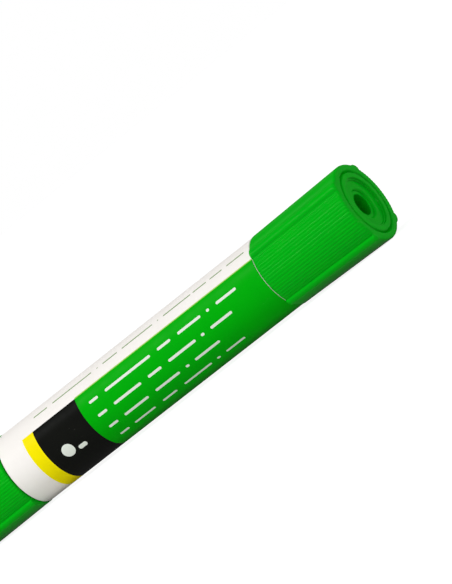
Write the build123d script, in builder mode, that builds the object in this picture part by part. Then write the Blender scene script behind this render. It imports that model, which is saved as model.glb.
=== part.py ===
from build123d import *
import os
from math import cos, floor, radians, sin, sqrt

# Glue stick of the pencil type, lying on a smooth side of its knob. The stick's axis runs along X,
# with the cap towards -X and the turning knob towards +X. Turning the knob by the right-hand rule
# about +X winds the glue out of the barrel, towards -X. Sizes are in millimetres and angles in
# degrees, and the ribbed panels of the knob and the cap face +Y and -Y.

os.makedirs("parts", exist_ok=True)

# Barrel
tube_radius = 6.65
tube_wall = 0.8
body_length = 58.7
neck_length = 18.0
neck_step = 0.4
web_thickness = 1.2
tail_step = 0.9
tail_wall = 0.8
bead_height = 0.14
bead_width = 1.2
bead_crest_share = 0.4
neck_bead_height = 0.1
mouth_chamfer = 0.12
guide_count = 2
guide_width = 1.0
guide_height = 0.35
guide_end_gap = 4.0

# Label film
film_thickness = 0.1
film_end_gap = 0.08
film_seam_width = 0.6
film_seam_angle = 60.0

# Outline shared by the knob and the cap
side_step = 0.08
side_flare = 0.38
side_curve_share = 1.266
panel_rise = 0.32
ridge_rise = 0.45
ridge_foot_rise = 0.27
rib_count = 17
rib_pitch = 4.4
rib_depth = 0.1
rib_crest_share = 0.4
ridge_gap_angle = 1.8
ridge_climb_angle = 5.8
ridge_fall_angle = 6.5
end_round = 0.4
end_round_steps = 3
front_chamfer = 0.2

# Knob
knob_length = 19.6
knob_lip_width = 0.28
disc_thickness = 2.4
stop_thickness = 1.4
stop_width = 0.9

# Spindle
disc_step = 0.78
disc_groove_depth = 0.45
disc_edge_width = 0.28
ring_width = 0.94
ring_step_depth = 0.3
ring_step_width = 0.28
recess_depth = 0.5
eye_radius = 2.64
eye_round = 0.26
eye_depth = 0.4
core_hole_radius = 2.0
core_hole_depth = 13.0
hub_radius = 3.2
flange_width = 1.0
flange_thickness = 1.2
collar_height = 0.3
collar_length = 1.0
screw_root_radius = 1.7
thread_height = 0.7
thread_lead = 4.0
screw_tip_chamfer = 0.8

# Carrier and glue
carrier_floor = 1.0
cup_depth = 4.5
cup_wall = 0.9
nut_wall = 0.95
nut_length = 7.0
glue_headroom = 3.0
glue_edge_chamfer = 0.4

# Cap
cap_headroom = 5.4
cap_end_wall = 1.6
cap_seat_step = 0.6

# Clearances
joint_gap = 0.15
turn_gap = 0.1
bearing_gap = 0.08
slide_gap = 0.14
thread_gap = 0.25
cap_gap = 0.15
bead_gap = 0.05
seat_gap = 0.2
rest_gap = 0.5
rim_gap = 3.0
overrun = 1.0

# Radii worked out from the sizes above
bore_radius = tube_radius - tube_wall
neck_radius = tube_radius - neck_step
film_radius = tube_radius + film_thickness
side_half = film_radius + side_step + side_flare
side_curve = side_half * side_curve_share
panel_radius = side_half + panel_rise
valley_radius = panel_radius - rib_depth
ridge_radius = panel_radius + ridge_rise
ridge_foot_radius = panel_radius + ridge_foot_rise
axis_z = side_half
tail_radius = tube_radius - tail_step
disc_radius = tube_radius - disc_step
ring_inner_radius = disc_radius - disc_edge_width - ring_width
flange_radius = hub_radius + flange_width
knob_cavity_radius = tail_radius + turn_gap
screw_radius = screw_root_radius + thread_height
carrier_radius = bore_radius - slide_gap
cup_radius = carrier_radius - cup_wall
nut_hole_radius = screw_radius + thread_gap
nut_radius = nut_hole_radius + nut_wall
glue_bore_radius = screw_radius + thread_gap
cap_bore_radius = neck_radius + cap_gap
guide_depth = guide_height + (neck_radius - bore_radius) / 2

# Angles from the middle of a ribbed panel
panel_half = rib_count * rib_pitch / 2
ridge_start = panel_half + ridge_gap_angle
ridge_crest = ridge_start + ridge_climb_angle
ridge_end = ridge_crest + ridge_fall_angle

# Places along the axis, from the free end of the knob to that of the cap
cap_length = neck_length - joint_gap + seat_gap + cap_headroom + cap_end_wall
total_length = knob_length + 2 * joint_gap + body_length + cap_length
knob_end = total_length / 2
knob_front = knob_end - knob_length
disc_front = knob_end - disc_thickness
stop_front = disc_front - stop_thickness
body_rear = knob_front - joint_gap
body_front = body_rear - body_length
mouth = body_front - neck_length
cap_edge = body_front - joint_gap
cap_end = -knob_end
cap_seat = mouth - seat_gap
tail_end = stop_front - seat_gap
bead_centre = (body_rear + tail_end) / 2
web_front = body_rear - web_thickness
flange_front = body_rear + joint_gap
collar_rear = web_front - joint_gap
collar_front = collar_rear - collar_length
carrier_rear = collar_front - rest_gap
nut_front = carrier_rear - nut_length
full_turns_out = (nut_front - mouth - rim_gap) / thread_lead
turns_out = floor(2 * full_turns_out) / 2
travel = turns_out * thread_lead
screw_tip = carrier_rear - travel - thread_lead
glue_foot = carrier_rear - carrier_floor
cup_rim = glue_foot - cup_depth
glue_tip = mouth + glue_headroom
glue_bore_end = screw_tip - rest_gap

stick_axis = Axis((0, 0, axis_z), (1, 0, 0))
side_plane = Plane(origin=(0, 0, axis_z), x_dir=(1, 0, 0), z_dir=(0, -1, 0))


def cross_plane(x):
    """Plane across the axis at x, with its own axes along Y and Z."""
    return Plane(origin=(x, 0, axis_z), x_dir=(0, 1, 0), z_dir=(1, 0, 0))


def polar(radius, angle):
    """Point at a radius and an angle from +Y, seen along the axis."""
    return (radius * cos(radians(angle)), radius * sin(radians(angle)))


def turned(points):
    """Solid of revolution about the stick's axis, from points of (place along X, radius)."""
    with BuildPart() as blank:
        with BuildSketch(side_plane):
            with BuildLine():
                Polyline(*points, close=True)
            make_face()
        revolve(axis=stick_axis)
    return blank.part


def bead(centre, seat, height, width):
    """Profile points of a snap bead of the given height on a round seat, from +X to -X."""
    half = width / 2
    crest_half = half * bead_crest_share
    return [
        (centre + half, seat),
        (centre + crest_half, seat + height),
        (centre - crest_half, seat + height),
        (centre - half, seat),
    ]


def grip_section(x, share):
    """Cross-section of the knob and the cap at x: two ribbed panels, four ridges, two smooth sides."""
    side_offset = side_curve - side_half
    across = side_offset * cos(radians(ridge_end))
    along = side_offset * sin(radians(ridge_end))
    notch_radius = share * (sqrt(side_curve**2 - across**2) - along)
    valley = share * valley_radius
    crest = share * panel_radius
    rib_flank = rib_pitch * (1 - rib_crest_share) / 2
    with BuildSketch(cross_plane(x)) as section:
        with BuildLine():
            for turn in (0, 180):
                for rib in range(rib_count):
                    start = turn - panel_half + rib * rib_pitch
                    Polyline(
                        polar(valley, start),
                        polar(crest, start + rib_flank),
                        polar(crest, start + rib_pitch - rib_flank),
                        polar(valley, start + rib_pitch),
                    )
                for sense in (-1, 1):
                    foot = polar(share * ridge_foot_radius, turn + sense * ridge_start)
                    Line(polar(valley, turn + sense * panel_half), foot)
                    ThreePointArc(
                        foot,
                        polar(share * ridge_radius, turn + sense * ridge_crest),
                        polar(notch_radius, turn + sense * ridge_end),
                    )
                ThreePointArc(
                    polar(notch_radius, turn + ridge_end),
                    polar(share * side_half, turn + 90),
                    polar(notch_radius, turn + 180 - ridge_end),
                )
        make_face()
    return section.sketch


def grip_blank(front, end):
    """Solid outside of the knob or the cap, flaring from its front edge to its rounded free end."""
    sense = 1 if end > front else -1
    front_half = side_half - side_flare
    places = [(front, front_half - front_chamfer), (front + sense * front_chamfer, front_half)]
    for step in range(end_round_steps + 1):
        angle = radians(90 * step / end_round_steps)
        inset = end_round * (1 - cos(angle))
        places.append((end - sense * end_round * (1 - sin(angle)), side_half - inset))
    with BuildPart() as blank:
        loft([grip_section(x, half / side_half) for x, half in places], ruled=True)
    return blank.part


# Barrel: body, front neck with its snap bead, rear web and the tail that the knob turns on
neck_bead_centre = (body_front + mouth) / 2
barrel_blank = turned([
    (tail_end, tail_radius - tail_wall),
    (tail_end, tail_radius),
    *bead(bead_centre, tail_radius, bead_height, bead_width),
    (body_rear, tail_radius),
    (body_rear, tube_radius),
    (body_front, tube_radius),
    (body_front, neck_radius),
    *bead(neck_bead_centre, neck_radius, neck_bead_height, bead_width),
    (mouth, neck_radius),
    (mouth, bore_radius),
    (web_front, bore_radius),
    (web_front, hub_radius + bearing_gap),
    (body_rear, hub_radius + bearing_gap),
    (body_rear, tail_radius - tail_wall),
])
with BuildPart() as barrel:
    add(barrel_blank)
    chamfer(barrel.faces().sort_by(Axis.X)[0].edges(), mouth_chamfer)
    with BuildSketch(cross_plane(web_front)):
        with PolarLocations(bore_radius - guide_height + guide_depth / 2, guide_count):
            Rectangle(guide_depth, guide_width)
    extrude(amount=-(web_front - mouth - guide_end_gap))
barrel.part.label = "barrel"
export_step(barrel.part, "parts/barrel.step")

# Label: the printed film wrapped round the barrel, with its butt seam on the far side
with BuildPart() as label:
    with BuildSketch(side_plane):
        with Locations(((body_front + body_rear) / 2, tube_radius + film_thickness / 2)):
            Rectangle(body_length - 2 * film_end_gap, film_thickness)
    revolve(axis=stick_axis)
    with BuildSketch(cross_plane(body_front)):
        with PolarLocations(tube_radius, 1, start_angle=film_seam_angle):
            Rectangle(4 * film_thickness, film_seam_width)
    extrude(amount=body_length, mode=Mode.SUBTRACT)
label.part.label = "label"
export_step(label.part, "parts/label.step")

# Knob: moulded shell with its ribbed grip, stop ring, pocket for the disc and groove for the bead
knob_blank = grip_blank(knob_front, knob_end)
knob_hollow = turned([
    (knob_end + overrun, 0),
    (knob_end + overrun, disc_radius + knob_lip_width),
    (knob_end, disc_radius + knob_lip_width),
    (knob_end - disc_groove_depth, disc_radius),
    (disc_front, disc_radius),
    (disc_front, knob_cavity_radius - stop_width),
    (stop_front, knob_cavity_radius - stop_width),
    (stop_front, knob_cavity_radius),
    *bead(bead_centre, knob_cavity_radius, bead_height + bead_gap - turn_gap, bead_width + 2 * bead_gap),
    (knob_front - overrun, knob_cavity_radius),
    (knob_front - overrun, 0),
])
with BuildPart() as turn_knob:
    add(knob_blank)
    add(knob_hollow, mode=Mode.SUBTRACT)
turn_knob.part.label = "turn_knob"
export_step(turn_knob.part, "parts/turn_knob.step")

# Spindle: end disc with its raised ring and cored eye, hub, thrust flange, snap collar and the core
# of the lead screw
spindle_blank = turned([
    (knob_end, ring_inner_radius),
    (knob_end, disc_radius - disc_edge_width),
    (knob_end - disc_groove_depth, disc_radius),
    (disc_front, disc_radius),
    (disc_front, hub_radius),
    (flange_front + flange_thickness, hub_radius),
    (flange_front + flange_thickness, flange_radius),
    (flange_front, flange_radius),
    (flange_front, hub_radius),
    (collar_rear, hub_radius),
    (collar_rear, hub_radius + collar_height),
    (collar_front, hub_radius - collar_height),
    (collar_front, screw_root_radius),
    (screw_tip + screw_tip_chamfer, screw_root_radius),
    (screw_tip, screw_root_radius - screw_tip_chamfer),
    (screw_tip, 0),
    (knob_end - core_hole_depth, 0),
    (knob_end - core_hole_depth, core_hole_radius),
    (knob_end - recess_depth - eye_depth, core_hole_radius),
    (knob_end - recess_depth - eye_depth, eye_radius),
    (knob_end - recess_depth - eye_round, eye_radius),
    (knob_end - recess_depth, eye_radius + eye_round),
    (knob_end - recess_depth, ring_inner_radius - ring_step_width),
    (knob_end - ring_step_depth, ring_inner_radius - ring_step_width),
    (knob_end - ring_step_depth, ring_inner_radius),
])
with BuildPart() as spindle:
    add(spindle_blank)
spindle.part.label = "spindle"
export_step(spindle.part, "parts/spindle.step")

# Carrier: cup for the foot of the glue, with the nut's collar in its middle, bored to the outside
# of the screw
carrier_blank = turned([
    (carrier_rear, nut_hole_radius),
    (carrier_rear, carrier_radius),
    (cup_rim, carrier_radius),
    (cup_rim, cup_radius),
    (glue_foot, cup_radius),
    (glue_foot, nut_radius),
    (nut_front, nut_radius),
    (nut_front, nut_hole_radius),
])
guide_slot_depth = guide_height + slide_gap
with BuildPart() as glue_carrier:
    add(carrier_blank)
    with BuildSketch(cross_plane(carrier_rear)):
        with PolarLocations(bore_radius - guide_slot_depth / 2, guide_count):
            Rectangle(guide_slot_depth, guide_width + 2 * slide_gap)
    extrude(amount=-(carrier_rear - cup_rim), mode=Mode.SUBTRACT)
glue_carrier.part.label = "glue_carrier"
export_step(glue_carrier.part, "parts/glue_carrier.step")

# Glue: cast in the cup round the nut's collar, with a blind bore over the screw
glue_blank = turned([
    (glue_foot, nut_radius),
    (glue_foot, cup_radius),
    (cup_rim, cup_radius),
    (cup_rim, carrier_radius),
    (glue_tip, carrier_radius),
    (glue_tip, 0),
    (glue_bore_end, 0),
    (glue_bore_end, glue_bore_radius),
    (nut_front, glue_bore_radius),
    (nut_front, nut_radius),
])
with BuildPart() as glue_stick:
    add(glue_blank)
    chamfer(glue_stick.edges().filter_by(GeomType.CIRCLE).group_by(Axis.X)[0], glue_edge_chamfer)
    with BuildSketch(cross_plane(cup_rim)):
        with PolarLocations(bore_radius - guide_slot_depth / 2, guide_count):
            Rectangle(guide_slot_depth, guide_width + 2 * slide_gap)
    extrude(amount=-(cup_rim - glue_tip), mode=Mode.SUBTRACT)
glue_stick.part.label = "glue_stick"
export_step(glue_stick.part, "parts/glue_stick.step")

# Cap: shell with the knob's outline, seated with its inner step before the mouth
cap_blank = grip_blank(cap_edge, cap_end)
cap_hollow = turned([
    (cap_edge + overrun, 0),
    (cap_edge + overrun, cap_bore_radius),
    (cap_seat, cap_bore_radius),
    (cap_seat, cap_bore_radius - cap_seat_step),
    (cap_end + cap_end_wall, cap_bore_radius - cap_seat_step),
    (cap_end + cap_end_wall, 0),
])
with BuildPart() as cap:
    add(cap_blank)
    add(cap_hollow, mode=Mode.SUBTRACT)
cap.part.label = "cap"
export_step(cap.part, "parts/cap.step")
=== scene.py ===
import bpy
from math import cos, degrees, radians, sin, tau
from mathutils import Matrix, Vector


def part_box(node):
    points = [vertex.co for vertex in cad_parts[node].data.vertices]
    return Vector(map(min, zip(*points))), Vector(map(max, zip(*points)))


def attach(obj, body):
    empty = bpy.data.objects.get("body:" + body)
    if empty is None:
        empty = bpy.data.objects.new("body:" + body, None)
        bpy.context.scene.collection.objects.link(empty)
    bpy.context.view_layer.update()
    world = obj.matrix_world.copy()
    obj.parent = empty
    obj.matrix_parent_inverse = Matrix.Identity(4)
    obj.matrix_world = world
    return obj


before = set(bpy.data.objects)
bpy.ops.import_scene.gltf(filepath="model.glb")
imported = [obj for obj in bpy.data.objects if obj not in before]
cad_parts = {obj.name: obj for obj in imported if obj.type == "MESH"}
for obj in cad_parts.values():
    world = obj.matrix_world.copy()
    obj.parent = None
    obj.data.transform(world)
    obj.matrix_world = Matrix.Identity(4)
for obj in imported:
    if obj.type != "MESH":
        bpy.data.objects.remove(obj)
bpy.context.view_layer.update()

# Places along the stick and round its axis, in metres, taken from the frame
barrel_low, barrel_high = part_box("barrel")
label_low, label_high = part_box("label")
carrier_low, carrier_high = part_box("glue_carrier")
screw_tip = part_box("spindle")[0].x
knob_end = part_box("turn_knob")[1].x
axis_z = (barrel_low.z + barrel_high.z) / 2
film_radius = (label_high.z - label_low.z) / 2
MM = 0.001

# Lead screw: sizes of its thread and of the nut's, which run inside the barrel
SCREW_ROOT_RADIUS = 1.7 * MM
SCREW_HEIGHT = 0.7 * MM
SCREW_LEAD = 4.0 * MM
SCREW_ROOT_WIDTH = 1.7 * MM
SCREW_CREST_WIDTH = 0.7 * MM
THREAD_GAP = 0.25 * MM
THREAD_SINK = 0.05 * MM
STEPS_PER_TURN = 48

# Print on the label: places in mm from its end at the knob, and angles in degrees above the line that
# faces -Y. A bar has a start and an end, DISC a place, an angle and a radius, and DISC_BAR a start, an
# end, an angle and a height.
STRIP_START = 39.0
STRIP_END = 118.0
BORDER_WIDTH = 1.6
GREEN_END = 40.9
BLACK_END = 50.8
YELLOW_END = 53.3
ROW_TOP = 19.6
ROW_PITCH = 22.4
ROW_BAR = 0.46
ROW_WORDS = (
    ((35.0, 24.6), (22.9, 19.9), (18.2, 13.0), (11.6, 11.0), (9.4, 4.9)),
    ((35.0, 28.8), (27.1, 24.1), (22.4, 16.2), (14.9, 14.2), (12.7, 7.9)),
    ((35.1, 29.6), (27.9, 22.4), (20.9, 20.2), (18.8, 13.2)),
    ((35.3, 30.6), (28.8, 25.6), (23.8, 17.6), (16.3, 15.6), (14.2, 10.0)),
)
CODE = (38.7, 36.7)
STRIP_ROW = 60.5
STRIP_BAR = 0.3
STRIP_WORDS = (
    (50.0, 46.8), (45.6, 36.4), (35.2, 34.9), (33.8, 30.4), (29.3, 22.2), (21.1, 20.8),
    (19.7, 13.4), (12.9, 9.8), (9.0, 6.2), (5.2, 1.2),
)
DISC = (47.1, -15.0, 1.2)
DISC_BAR = (45.4, 43.6, -22.0, 0.8)

# Camera: a pinhole whose rays are told by pixels of the photograph's frame
IMAGE_WIDTH = 452
IMAGE_HEIGHT = 584
FOCAL_PIXELS = 5963.0
SENSOR = 36.0
CAMERA_DISTANCE = 0.956
CAMERA_AZIMUTH = 24.2
CAMERA_ELEVATION = 2.3
KNOB_END_PIXEL = (366.3, 201.2)
AXIS_TILT = radians(38.1)

# Lights: azimuth and elevation in degrees, told as the camera's are. A sun's breadth in degrees and
# strength follow, or a strip's length and width in metres and power.
KEY_SUN = (5, 22, 28, 1.15)
END_SUN = (108, 10, 20, 0.75)
TOP_STRIP = (-38.4, 48.7, 0.5, 0.04, 2.35)
BACK_STRIP = (218.4, 48.7, 0.5, 0.09, 0.25)
STRIP_DISTANCE = 0.8

# Floor and surrounding light
FLOOR_SIZE = 12
FLOOR_SHADE = 0.6
FLOOR_GLOW = 0.5
FLOOR_WHITE = 1.76
WORLD_LIGHT = 0.3
BACKDROP_TOP = 0.2
CEILING = 0.5


def linear(red, green, blue):
    """Linear colour of an sRGB one given in steps of 255."""
    def channel(step):
        value = step / 255
        return value / 12.92 if value <= 0.04045 else ((value + 0.055) / 1.055) ** 2.4
    return (channel(red), channel(green), channel(blue), 1.0)


class Graph:
    """Short ways to add and join the nodes of one material."""

    def __init__(self, name):
        self.material = bpy.data.materials.new(name)
        self.material.use_nodes = True
        self.tree = self.material.node_tree
        self.tree.nodes.clear()
        output = self.tree.nodes.new("ShaderNodeOutputMaterial")
        self.shader = self.tree.nodes.new("ShaderNodeBsdfPrincipled")
        self.tree.links.new(self.shader.outputs["BSDF"], output.inputs["Surface"])
        self.place = self.tree.nodes.new("ShaderNodeTexCoord").outputs["Object"]

    def put(self, socket, value):
        """Joins a socket to another's output, or sets its value."""
        if isinstance(value, bpy.types.NodeSocket):
            self.tree.links.new(value, socket)
        else:
            socket.default_value = value

    def math(self, operation, first, second=0.0, third=0.0):
        node = self.tree.nodes.new("ShaderNodeMath")
        node.operation = operation
        self.put(node.inputs[0], first)
        self.put(node.inputs[1], second)
        self.put(node.inputs[2], third)
        return node.outputs[0]

    def split(self, vector):
        node = self.tree.nodes.new("ShaderNodeSeparateXYZ")
        self.put(node.inputs[0], vector)
        return node.outputs

    def join(self, x, y, z):
        node = self.tree.nodes.new("ShaderNodeCombineXYZ")
        for socket, value in zip(node.inputs, (x, y, z)):
            self.put(socket, value)
        return node.outputs[0]

    def mix(self, share, first, second):
        """Colour between two others."""
        node = self.tree.nodes.new("ShaderNodeMix")
        node.data_type = "RGBA"
        self.put(node.inputs[0], share)
        self.put(node.inputs[6], first)
        self.put(node.inputs[7], second)
        return node.outputs[2]

    def between(self, value, low, high):
        """One where the value lies between two limits, and nought elsewhere."""
        above = self.math("GREATER_THAN", value, low)
        below = self.math("LESS_THAN", value, high)
        return self.math("MULTIPLY", above, below)

    def noise(self, scale, detail=3.0, stretch=(1, 1, 1), roughness=0.5):
        """Noise in the object's own place, with so many waves to the millimetre."""
        mapping = self.tree.nodes.new("ShaderNodeMapping")
        self.put(mapping.inputs["Vector"], self.place)
        self.put(mapping.inputs["Scale"], [scale * s / MM for s in stretch])
        node = self.tree.nodes.new("ShaderNodeTexNoise")
        self.put(node.inputs["Vector"], mapping.outputs[0])
        self.put(node.inputs["Scale"], 1.0)
        self.put(node.inputs["Detail"], detail)
        self.put(node.inputs["Roughness"], roughness)
        return node.outputs["Fac"]

    def ramp(self, value, low, high, first, second):
        """Value moved from one span to another, and held at its ends."""
        node = self.tree.nodes.new("ShaderNodeMapRange")
        for socket, number in zip(node.inputs, (value, low, high, first, second)):
            self.put(socket, number)
        return node.outputs[0]

    def bump(self, height, distance, below=None):
        """Normal over a height that reaches so many metres."""
        node = self.tree.nodes.new("ShaderNodeBump")
        self.put(node.inputs["Distance"], distance)
        self.put(node.inputs["Height"], height)
        if below is not None:
            self.put(node.inputs["Normal"], below)
        return node.outputs[0]

    def satin(self, weight, roughness, normal):
        """Thin glossy skin over a matt body, of the given weight."""
        self.put(self.shader.inputs["Specular IOR Level"], 0.0)
        self.put(self.shader.inputs["Roughness"], roughness)
        self.put(self.shader.inputs["Coat Weight"], weight)
        self.put(self.shader.inputs["Coat Roughness"], roughness)
        self.put(self.shader.inputs["Coat Normal"], normal)

    def rounded_edges(self, radius):
        node = self.tree.nodes.new("ShaderNodeBevel")
        node.samples = 8
        self.put(node.inputs["Radius"], radius)
        return node.outputs[0]


def green_plastic():
    """Saturated green moulding with a satin skin, faint flow marks and rubbed places."""
    g = Graph("green_plastic")
    cloud = g.ramp(g.noise(0.12, 4.0), 0.3, 0.7, 0.0, 1.0)
    flow = g.ramp(g.noise(0.5, 3.0, (0.25, 1, 1)), 0.35, 0.65, 0.0, 1.0)
    shade = g.mix(cloud, linear(0, 180, 20), linear(0, 186, 18))
    shade = g.mix(g.math("MULTIPLY", flow, 0.35), shade, linear(0, 171, 28))
    rub = g.ramp(g.noise(2.2, 5.0, (0.2, 1, 1), 0.65), 0.62, 0.78, 0.0, 1.0)
    shade = g.mix(g.math("MULTIPLY", rub, 0.18), shade, linear(36, 198, 60))
    g.put(g.shader.inputs["Base Color"], shade)
    grain = g.bump(g.noise(14.0, 2.0), 0.002 * MM, g.rounded_edges(0.3 * MM))
    skin = g.bump(g.noise(0.6, 3.0, (0.15, 1, 1)), 0.008 * MM, grain)
    g.put(g.shader.inputs["Normal"], skin)
    g.satin(0.08, g.ramp(g.noise(1.1, 4.0), 0.3, 0.7, 0.14, 0.2), skin)
    return g.material


def barrel_plastic():
    """White moulding with a satin skin, a little warm where it is handled."""
    g = Graph("barrel_plastic")
    cloud = g.ramp(g.noise(0.1, 4.0), 0.3, 0.7, 0.0, 1.0)
    shade = g.mix(cloud, linear(246, 243, 238), linear(240, 237, 230))
    soil = g.ramp(g.noise(0.9, 5.0, (0.5, 1, 1), 0.7), 0.6, 0.8, 0.0, 0.25)
    g.put(g.shader.inputs["Base Color"], g.mix(soil, shade, linear(224, 216, 200)))
    grain = g.bump(g.noise(12.0, 2.0), 0.004 * MM, g.rounded_edges(0.05 * MM))
    g.put(g.shader.inputs["Normal"], grain)
    g.satin(0.3, g.ramp(g.noise(1.3, 4.0), 0.3, 0.7, 0.22, 0.34), grain)
    return g.material


def glue_wax():
    """White adhesive: waxy, slightly let through by light, with drag lines and small pits."""
    g = Graph("glue")
    cloud = g.ramp(g.noise(0.3, 5.0), 0.3, 0.7, 0.0, 1.0)
    g.put(g.shader.inputs["Base Color"], g.mix(cloud, linear(247, 245, 236), linear(242, 239, 228)))
    g.put(g.shader.inputs["Roughness"], g.ramp(g.noise(1.5, 4.0), 0.3, 0.7, 0.38, 0.56))
    g.put(g.shader.inputs["Specular IOR Level"], 0.4)
    g.put(g.shader.inputs["Subsurface Weight"], 0.35)
    g.put(g.shader.inputs["Subsurface Radius"], (1.2, 1.0, 0.8))
    g.put(g.shader.inputs["Subsurface Scale"], 1.0 * MM)
    drag = g.bump(g.noise(1.6, 3.0, (0.08, 1, 1)), 0.03 * MM, g.rounded_edges(0.25 * MM))
    pits = g.ramp(g.noise(3.5, 2.0), 0.2, 0.36, 0.0, 1.0)
    g.put(g.shader.inputs["Normal"], g.bump(pits, 0.03 * MM, drag))
    return g.material


def arc(g, angle, middle):
    """Length in mm round the film, measured from one angle."""
    return g.math("MULTIPLY", g.math("SUBTRACT", angle, middle), radians(film_radius / MM))


def bars(g, along, rise, spans, height):
    """Mask of plain bars with round ends. The rise is the height above their line, in mm."""
    found = 0.0
    for start, end in spans:
        reach = max((start - end - height) / 2, 0.0)
        over = g.math("ABSOLUTE", g.math("SUBTRACT", along, (start + end) / 2))
        over = g.math("MAXIMUM", g.math("SUBTRACT", over, reach), 0.0)
        square = g.math("ADD", g.math("MULTIPLY", over, over), g.math("MULTIPLY", rise, rise))
        found = g.math("MAXIMUM", found, g.math("LESS_THAN", square, (height / 2) ** 2))
    return found


def main_lines(g, along, angle):
    """Mask of four rows of plain bars on the green field, in place of the small print."""
    found = 0.0
    for number, spans in enumerate(ROW_WORDS):
        rise = arc(g, angle, ROW_TOP - number * ROW_PITCH)
        found = g.math("MAXIMUM", found, bars(g, along, rise, (CODE, *spans), ROW_BAR))
    return found


def disc_and_bar(g, along, angle):
    """Mask of the plain disc and bar that stand on the black field."""
    centre, turn, radius = DISC
    side = g.math("SUBTRACT", along, centre)
    rise = arc(g, angle, turn)
    square = g.math("ADD", g.math("MULTIPLY", side, side), g.math("MULTIPLY", rise, rise))
    disc = g.math("LESS_THAN", square, radius**2)
    start, end, turn, height = DISC_BAR
    return g.math("MAXIMUM", disc, bars(g, along, arc(g, angle, turn), ((start, end),), height))


def label_print():
    """Printed film: white strip, green, black and yellow fields, and plain bars for the small print."""
    g = Graph("label_print")
    x, y, z = g.split(g.place)
    along = g.math("DIVIDE", g.math("SUBTRACT", label_high.x, x), MM)
    turn = g.math("ARCTAN2", g.math("SUBTRACT", z, axis_z), g.math("MULTIPLY", y, -1.0))
    angle = g.math("MULTIPLY", turn, degrees(1.0))
    cloud = g.ramp(g.noise(0.15, 4.0), 0.3, 0.7, 0.0, 1.0)
    white = g.mix(cloud, linear(255, 251, 247), linear(251, 247, 242))
    green = g.mix(cloud, linear(0, 179, 8), linear(0, 174, 12))
    black = g.mix(cloud, linear(15, 16, 14), linear(19, 20, 17))
    yellow = g.mix(cloud, linear(255, 241, 2), linear(254, 236, 4))
    field = g.mix(g.math("GREATER_THAN", along, GREEN_END), green, black)
    field = g.mix(g.math("GREATER_THAN", along, BLACK_END), field, yellow)
    marks = g.math("MAXIMUM", main_lines(g, along, angle), disc_and_bar(g, along, angle))
    field = g.mix(marks, field, linear(236, 242, 232))
    border = g.between(angle, STRIP_START, STRIP_START + BORDER_WIDTH)
    border = g.math("MULTIPLY", border, g.math("LESS_THAN", along, GREEN_END))
    strip = g.between(angle, STRIP_START, STRIP_END)
    paper = g.math("MAXIMUM", strip, g.math("GREATER_THAN", along, YELLOW_END))
    shade = g.mix(paper, field, white)
    shade = g.mix(border, shade, linear(176, 216, 104))
    small = bars(g, along, arc(g, angle, STRIP_ROW), STRIP_WORDS, STRIP_BAR)
    shade = g.mix(g.math("MULTIPLY", small, 0.9), shade, linear(122, 158, 96))
    scuff = g.ramp(g.noise(1.8, 6.0, (0.3, 1, 1), 0.7), 0.66, 0.8, 0.0, 0.12)
    g.put(g.shader.inputs["Base Color"], g.mix(scuff, shade, linear(214, 216, 206)))
    grain = g.bump(g.noise(9.0, 2.0), 0.003 * MM)
    skin = g.bump(g.noise(0.25, 3.0, (0.4, 1, 1)), 0.03 * MM, grain)
    g.put(g.shader.inputs["Normal"], skin)
    g.satin(0.06, g.ramp(g.noise(0.8, 4.0), 0.3, 0.7, 0.3, 0.42), skin)
    return g.material


def helical_band(name, start, length, root, height, root_width, crest_width):
    """Right-hand band of the screw's lead, running towards -X from start. Its foot is at root, and a
    negative height makes it stand inwards."""
    inward = -1 if height < 0 else 1
    corners = (
        (root - inward * THREAD_SINK, root_width / 2),
        (root + height, crest_width / 2),
        (root + height, -crest_width / 2),
        (root - inward * THREAD_SINK, -root_width / 2),
    )
    steps = round(STEPS_PER_TURN * length / SCREW_LEAD)
    vertices, faces = [], []
    for step in range(steps + 1):
        advance = length * step / steps
        angle = -tau * (advance / SCREW_LEAD)
        for radius, offset in corners:
            place = (start - advance + offset, -radius * cos(angle), axis_z + radius * sin(angle))
            vertices.append(place)
    count = len(corners)
    for step in range(steps):
        for corner in range(count):
            following = (corner + 1) % count
            faces.append((
                step * count + corner, step * count + following,
                (step + 1) * count + following, (step + 1) * count + corner,
            ))
    faces.append(tuple(range(count))[::-1])
    faces.append(tuple(steps * count + corner for corner in range(count)))
    mesh = bpy.data.meshes.new(name)
    mesh.from_pydata(vertices, [], faces)
    mesh.update()
    band = bpy.data.objects.new(name, mesh)
    bpy.context.scene.collection.objects.link(band)
    return band


def add_threads(green, white):
    """Thread of the screw, on the knob's body, and of the nut, on the carrier's."""
    screw_start = carrier_high.x - SCREW_ROOT_WIDTH / 2
    screw = helical_band(
        "screw_thread", screw_start, screw_start - screw_tip - SCREW_LEAD / 4,
        SCREW_ROOT_RADIUS, SCREW_HEIGHT, SCREW_ROOT_WIDTH, SCREW_CREST_WIDTH,
    )
    screw.data.materials.append(green)
    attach(screw, "knob")
    nut_radius = SCREW_ROOT_RADIUS + SCREW_HEIGHT + THREAD_GAP
    nut_foot = SCREW_LEAD - SCREW_CREST_WIDTH - 2 * THREAD_GAP
    nut_crest = SCREW_LEAD - SCREW_ROOT_WIDTH - 2 * THREAD_GAP
    nut = helical_band(
        "nut_thread", carrier_high.x - nut_foot / 2, carrier_high.x - carrier_low.x - nut_foot,
        nut_radius, -SCREW_HEIGHT, nut_foot, nut_crest,
    )
    nut.data.materials.append(white)
    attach(nut, "carrier")


def axes(back, right):
    """Rotation whose Z is one direction and whose X is nearest to another."""
    z = back.normalized()
    x = (right - z * right.dot(z)).normalized()
    return Matrix((x, z.cross(x), z)).transposed()


def direction(azimuth, elevation):
    """Direction from the stick, told as the camera's is."""
    a, e = radians(azimuth), radians(elevation)
    return Vector((sin(a) * cos(e), -cos(a) * cos(e), sin(e)))


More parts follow.
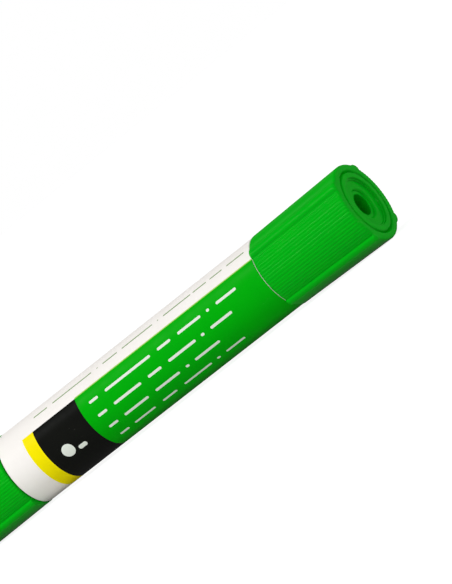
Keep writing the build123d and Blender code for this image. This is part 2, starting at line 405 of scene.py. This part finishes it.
def add_camera():
    """Camera at the photograph's angle, turned so that the knob's end and the axis fall where they do
    in the photograph."""
    back = direction(CAMERA_AZIMUTH, CAMERA_ELEVATION)
    target = Vector((knob_end, 0, axis_z))
    ray = Vector((
        (KNOB_END_PIXEL[0] - IMAGE_WIDTH / 2) / FOCAL_PIXELS,
        -(KNOB_END_PIXEL[1] - IMAGE_HEIGHT / 2) / FOCAL_PIXELS,
        -1.0,
    ))
    in_camera = axes(ray, Vector((cos(AXIS_TILT), sin(AXIS_TILT), 0)))
    in_world = axes(-back, Vector((1, 0, 0)))
    data = bpy.data.cameras.new("camera")
    data.sensor_width = SENSOR
    data.lens = SENSOR * FOCAL_PIXELS / max(IMAGE_WIDTH, IMAGE_HEIGHT)
    data.clip_start = 0.05
    data.clip_end = 50
    camera = bpy.data.objects.new("camera", data)
    bpy.context.scene.collection.objects.link(camera)
    rotation = (in_world @ in_camera.transposed()).to_4x4()
    camera.matrix_world = Matrix.Translation(target + back * CAMERA_DISTANCE) @ rotation
    bpy.context.scene.camera = camera


def place_light(data, back, distance):
    """Puts a light so far from the stick in one direction, facing it."""
    lamp = bpy.data.objects.new(data.name, data)
    bpy.context.scene.collection.objects.link(lamp)
    place = Matrix.Translation(Vector((0, 0, axis_z)) + back * distance)
    lamp.matrix_world = place @ axes(back, Vector((1, 0, 0))).to_4x4()


def add_strip(name, azimuth, elevation, length, width, power):
    """Long area lamp that lies along the stick."""
    data = bpy.data.lights.new(name, "AREA")
    data.shape = "RECTANGLE"
    data.size = length
    data.size_y = width
    data.energy = power
    place_light(data, direction(azimuth, elevation), STRIP_DISTANCE)


def add_sun(name, azimuth, elevation, breadth, strength):
    """Far, even and soft light."""
    data = bpy.data.lights.new(name, "SUN")
    data.angle = radians(breadth)
    data.energy = strength
    place_light(data, direction(azimuth, elevation), 1.0)


def seen_directly(tree):
    """One for rays from the camera, in a reflection or through glass."""
    path = tree.nodes.new("ShaderNodeLightPath")
    first = tree.nodes.new("ShaderNodeMath")
    first.operation = "MAXIMUM"
    tree.links.new(path.outputs["Is Camera Ray"], first.inputs[0])
    tree.links.new(path.outputs["Is Glossy Ray"], first.inputs[1])
    second = tree.nodes.new("ShaderNodeMath")
    second.operation = "MAXIMUM"
    tree.links.new(first.outputs[0], second.inputs[0])
    tree.links.new(path.outputs["Is Transmission Ray"], second.inputs[1])
    return second.outputs[0]


def add_floor():
    """Plain pale floor that looks white and keeps the stick's shadow."""
    bpy.ops.mesh.primitive_plane_add(size=FLOOR_SIZE, location=(0, 0, 0))
    floor = bpy.context.object
    floor.name = "floor"
    material = bpy.data.materials.new("floor")
    material.use_nodes = True
    tree = material.node_tree
    tree.nodes.clear()
    output = tree.nodes.new("ShaderNodeOutputMaterial")
    matt = tree.nodes.new("ShaderNodeBsdfDiffuse")
    matt.inputs["Color"].default_value = (*3 * [FLOOR_SHADE], 1)
    glow = tree.nodes.new("ShaderNodeEmission")
    glow.inputs["Color"].default_value = (1, 1, 1, 1)
    glow.inputs["Strength"].default_value = FLOOR_WHITE
    share = tree.nodes.new("ShaderNodeMath")
    share.operation = "MULTIPLY"
    share.inputs[1].default_value = FLOOR_GLOW
    tree.links.new(seen_directly(tree), share.inputs[0])
    mix = tree.nodes.new("ShaderNodeMixShader")
    tree.links.new(share.outputs[0], mix.inputs[0])
    tree.links.new(matt.outputs[0], mix.inputs[1])
    tree.links.new(glow.outputs[0], mix.inputs[2])
    tree.links.new(mix.outputs[0], output.inputs["Surface"])
    floor.data.materials.append(material)


def add_world():
    """Pale light all round, dim overhead, with a white backdrop where it is seen."""
    world = bpy.data.worlds.new("world")
    bpy.context.scene.world = world
    world.use_nodes = True
    tree = world.node_tree
    tree.nodes.clear()
    output = tree.nodes.new("ShaderNodeOutputWorld")
    background = tree.nodes.new("ShaderNodeBackground")
    background.inputs["Color"].default_value = (1, 1, 1, 1)
    ray = tree.nodes.new("ShaderNodeTexCoord")
    parts = tree.nodes.new("ShaderNodeSeparateXYZ")
    tree.links.new(ray.outputs["Generated"], parts.inputs[0])
    backdrop = tree.nodes.new("ShaderNodeMapRange")
    backdrop.inputs["From Min"].default_value = CEILING
    backdrop.inputs["From Max"].default_value = BACKDROP_TOP
    tree.links.new(parts.outputs["Z"], backdrop.inputs["Value"])
    seen = tree.nodes.new("ShaderNodeMath")
    seen.operation = "MULTIPLY"
    tree.links.new(seen_directly(tree), seen.inputs[0])
    tree.links.new(backdrop.outputs[0], seen.inputs[1])
    strength = tree.nodes.new("ShaderNodeMapRange")
    strength.inputs["To Min"].default_value = WORLD_LIGHT
    strength.inputs["To Max"].default_value = 1.0
    tree.links.new(seen.outputs[0], strength.inputs["Value"])
    tree.links.new(strength.outputs[0], background.inputs["Strength"])
    tree.links.new(background.outputs[0], output.inputs["Surface"])


green = green_plastic()
white = barrel_plastic()
finishes = {
    "barrel": white,
    "label": label_print(),
    "turn_knob": green,
    "spindle": green,
    "glue_carrier": white,
    "glue_stick": glue_wax(),
    "cap": green,
}
for name, material in finishes.items():
    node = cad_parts[name]
    node.data.materials.clear()
    node.data.materials.append(material)

add_threads(green, white)
add_floor()
add_world()
add_camera()
add_sun("key", *KEY_SUN)
add_sun("end_fill", *END_SUN)
add_strip("top_strip", *TOP_STRIP)
add_strip("back_strip", *BACK_STRIP)
bpy.context.scene.view_settings.view_transform = "Standard"
